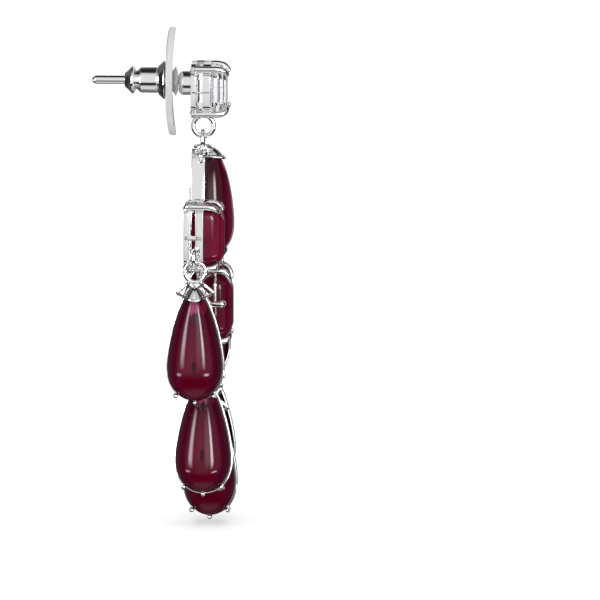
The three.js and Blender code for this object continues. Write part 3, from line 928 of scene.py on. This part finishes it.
drop = (pear_setting(DROP_PEAR), pear_stone(DROP_PEAR), DROP_PEAR)
turned = math.radians(SIDE_TURN)
for side, way in (("near", -1), ("far", 1)):
    facing = 0 if way < 0 else 180
    along, deep = side_across(), SIDE_LOOP["depth"]
    hang_x = SIDE_CENTRE["x"] - along * math.sin(turned) + deep * math.cos(turned)
    hang_y = SIDE_CENTRE["y"] + along * math.cos(turned) + deep * math.sin(turned)
    hang_z = SIDE_CENTRE["z"] + SIDE_LOOP["along"] - hangs(SIDE_LOOP["radius"])
    add_pear("side_drop_" + side, drop, placed((hang_x, way * hang_y, hang_z), facing), "chandelier")
    lower = (
        CENTRE_CENTRE[0] + LOWER_LOOP["depth"],
        way * lower_across(),
        CENTRE_CENTRE[2] + below_centre(LOWER_LOOP) - hangs(LOWER_LOOP["radius"]),
    )
    lean = NEAR_LEAN if way < 0 else 0
    add_pear("lower_drop_" + side, drop, placed(lower, facing, lean), "chandelier")

chain_x = CENTRE_CENTRE[0] + LOWEST_LOOP["depth"]
chain_z = CENTRE_CENTRE[2] + below_centre(LOWEST_LOOP) - hangs(LOWEST_LOOP["radius"])
for index, turn in ((1, 0), (2, 90)):
    link = Shape().add(ring(JUMP_RING), placed((chain_x, 0, chain_z - JUMP_RING), turn))
    piece(f"link_{index}", link, METAL, "chandelier", [f"jump_ring_{index}"])
    chain_z -= JUMP_RING + hangs(JUMP_RING)
lowest = (pear_setting(LOWEST_PEAR), pear_stone(LOWEST_PEAR), LOWEST_PEAR)
add_pear("lowest_drop", lowest, placed((chain_x, 0, chain_z), 0), "chandelier")


# The studio


FLOOR = {"half_size": 3.0, "below": 0.0004}  # metres
TARGET = Vector((0.003, 0, -0.025))
LIGHTS = [  # name, azimuth, elevation, distance, width, height, radiance
    ("left", -50, 15, 0.7, 0.3, 0.5, 0.5),
    ("right", 40, 15, 0.7, 0.3, 0.5, 0.4),
    ("top", -10, 70, 0.6, 0.5, 0.5, 1.2),
]
WHITE = 1.08
SEEN_THROUGH = 0.75  # share of the plain white in what the clear stone lets through


def floor_material():
    material, nodes, links, shader = new_material("floor")
    shader.inputs["Base Color"].default_value = (0.62, 0.62, 0.62, 1)
    shader.inputs["Emission Color"].default_value = (1, 1, 1, 1)
    shader.inputs["Emission Strength"].default_value = 0.4
    shader.inputs["Roughness"].default_value = 1
    shader.inputs["Specular IOR Level"].default_value = 0
    return material


def add_floor():
    size, level = FLOOR["half_size"], CAD_BOX[0][2] - FLOOR["below"]
    mesh = bpy.data.meshes.new("floor")
    corners = [(-size, -size, level), (size, -size, level), (size, size, level), (-size, size, level)]
    mesh.from_pydata(corners, [], [(0, 1, 2, 3)])
    mesh.materials.append(floor_material())
    floor = bpy.data.objects.new("floor", mesh)
    floor.visible_glossy = False
    bpy.context.scene.collection.objects.link(floor)


def direction(azimuth, elevation):
    """From the object towards a place: azimuth 0 is the camera's side, 90 is +X."""
    a, e = math.radians(azimuth), math.radians(elevation)
    return Vector((math.sin(a) * math.cos(e), -math.cos(a) * math.cos(e), math.sin(e)))


def add_light(name, azimuth, elevation, distance, width, height, radiance):
    """A soft rectangle that faces the object."""
    data = bpy.data.lights.new(name, "AREA")
    data.shape = "RECTANGLE"
    data.size, data.size_y = width, height
    data.energy = radiance * math.pi * width * height
    light = bpy.data.objects.new(name, data)
    out = direction(azimuth, elevation)
    light.location = TARGET + out * distance
    light.rotation_mode = "QUATERNION"
    light.rotation_quaternion = out.to_track_quat("Z", "Y")
    light.visible_camera = False
    light.visible_glossy = False
    bpy.context.scene.collection.objects.link(light)


def add_math(nodes, links, operation, *values):
    """A math node on sockets and plain numbers."""
    node = nodes.new("ShaderNodeMath")
    node.operation = operation
    for value, socket in zip(values, node.inputs):
        if isinstance(value, (int, float)):
            socket.default_value = value
        else:
            links.new(value, socket)
    return node.outputs["Value"]


def add_card(nodes, links, angles, middle, half, level):
    """A soft-edged rectangle of the reflected studio, in degrees, and its brightness."""
    inside = level
    for angle, centre, reach in zip(angles, middle, half):
        away = add_math(nodes, links, "ABSOLUTE", add_math(nodes, links, "SUBTRACT", angle, centre))
        soft = min(8, reach * 0.6)
        edge = nodes.new("ShaderNodeMapRange")
        edge.interpolation_type = "SMOOTHSTEP"
        edge.inputs["From Min"].default_value = reach + soft
        edge.inputs["From Max"].default_value = reach - soft
        links.new(away, edge.inputs["Value"])
        inside = add_math(nodes, links, "MULTIPLY", edge.outputs["Result"], inside)
    return inside


STUDIO_FILL = 0.03
# What lies behind is given at 180 and at -180 degrees, because azimuth wraps there.
STUDIO_CARDS = [  # azimuth and elevation of the middle, half sizes, brightness
    ((0, 28), (76, 44), 0.66),  # pale room on the camera's side
    ((-5, 21), (24, 37), 0.3),  # its brighter middle
    ((-53, 13), (8, 15), 20),  # left strip
    ((38, 13), (5, 15), 31),  # right strip with a soft inner side
    ((24, 13), (14, 15), 2.8),
    ((-68, -15), (9, 1.6), 18),  # a short light under each strip
    ((50, -15), (10, 1.6), 25),
    ((0, -72), (181, 22), 0.25),  # floor
    ((0, -66), (70, 22), 0.6),  # its lit part
    ((180, 10), (76, 40), 0.12),  # dim room behind
    ((-180, 10), (76, 40), 0.12),
    ((150, 5), (6, 40), 1.2),  # rim light from the right
    ((180, 11), (22, 6), 0.8),  # white backdrop
    ((-180, 11), (22, 6), 0.8),
]


def add_world():
    """White for soft light, and a studio of cards for what gloss reflects."""
    world = bpy.data.worlds.new("studio")
    world.use_nodes = True
    nodes, links = world.node_tree.nodes, world.node_tree.links
    white = nodes["Background"]
    white.inputs["Color"].default_value = (1, 1, 1, 1)
    white.inputs["Strength"].default_value = WHITE
    coordinates = nodes.new("ShaderNodeTexCoord")
    split = nodes.new("ShaderNodeSeparateXYZ")
    links.new(coordinates.outputs["Generated"], split.inputs["Vector"])
    forward = add_math(nodes, links, "MULTIPLY", split.outputs["Y"], -1)
    azimuth = add_math(nodes, links, "ARCTAN2", split.outputs["X"], forward)
    elevation = add_math(nodes, links, "ARCSINE", split.outputs["Z"])
    angles = [add_math(nodes, links, "DEGREES", angle) for angle in (azimuth, elevation)]
    level = STUDIO_FILL
    for middle, half, brightness in STUDIO_CARDS:
        card = add_card(nodes, links, angles, middle, half, brightness)
        level = add_math(nodes, links, "ADD", card, level)
    room = nodes.new("ShaderNodeBackground")
    links.new(level, room.inputs["Strength"])
    path = nodes.new("ShaderNodeLightPath")
    mix = nodes.new("ShaderNodeMixShader")
    through = add_math(nodes, links, "MULTIPLY", path.outputs["Is Transmission Ray"], SEEN_THROUGH)
    reflected = add_math(nodes, links, "SUBTRACT", path.outputs["Is Glossy Ray"], through)
    links.new(reflected, mix.inputs["Fac"])
    links.new(white.outputs["Background"], mix.inputs[1])
    links.new(room.outputs["Background"], mix.inputs[2])
    links.new(mix.outputs["Shader"], nodes["World Output"].inputs["Surface"])
    bpy.context.scene.world = world


def add_camera():
    data = bpy.data.cameras.new("camera")
    data.sensor_width = SENSOR
    data.lens = PIXELS_PER_MM * SENSOR / PICTURE * CAMERA["distance"]
    data.clip_start, data.clip_end = 0.05, 20
    camera = bpy.data.objects.new("camera", data)
    out = direction(CAMERA["azimuth"], CAMERA["elevation"])
    camera.location = Vector(PICTURE_CENTRE) * MM + out * CAMERA["distance"] * MM
    camera.rotation_mode = "QUATERNION"
    camera.rotation_quaternion = (-out).to_track_quat("-Z", "Y")
    bpy.context.scene.collection.objects.link(camera)
    bpy.context.scene.camera = camera


add_floor()
add_world()
add_camera()
for light in LIGHTS:
    add_light(*light)
bpy.context.scene.view_settings.view_transform = "Standard"

bpy.context.view_layer.update()
